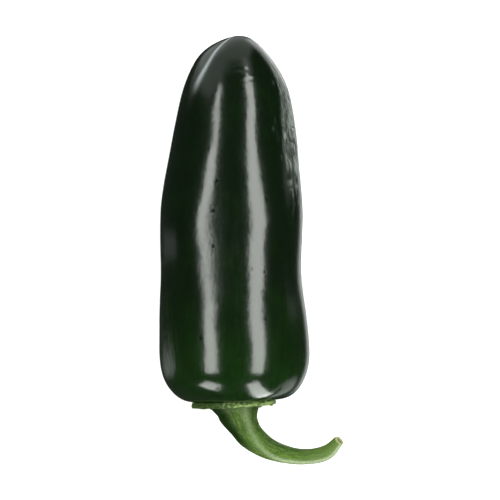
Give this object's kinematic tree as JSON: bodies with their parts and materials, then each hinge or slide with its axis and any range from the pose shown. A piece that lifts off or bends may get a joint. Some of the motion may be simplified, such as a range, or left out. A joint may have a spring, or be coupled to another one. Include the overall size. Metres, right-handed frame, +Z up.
{
  "type": "chilli pepper",
  "caption": "Whole fresh blunt green chilli pepper lying on its side, with a toothed calyx and a hooked, cut stem.",
  "frame": {"origin": "middle of the flat resting spot on the belly, on the surface that the pepper lies on, under its weight", "axes": "+Y along the pod from the stem end to the tip, +X to the side that the stem's hook turns to, +Z up"},
  "size_m": [0.0393, 0.0919, 0.0317],
  "materials": {
    "pod_skin": "smooth waxy skin, very dark green, glossy with fine corky flecks",
    "stem_green": "fresh ribbed green stem, satin, paler at the calyx lip and the cut end"
  },
  "bodies": {
    "root": {"pod": "pod_skin", "stem_with_calyx": "stem_green"}
  },
  "joints": []
}
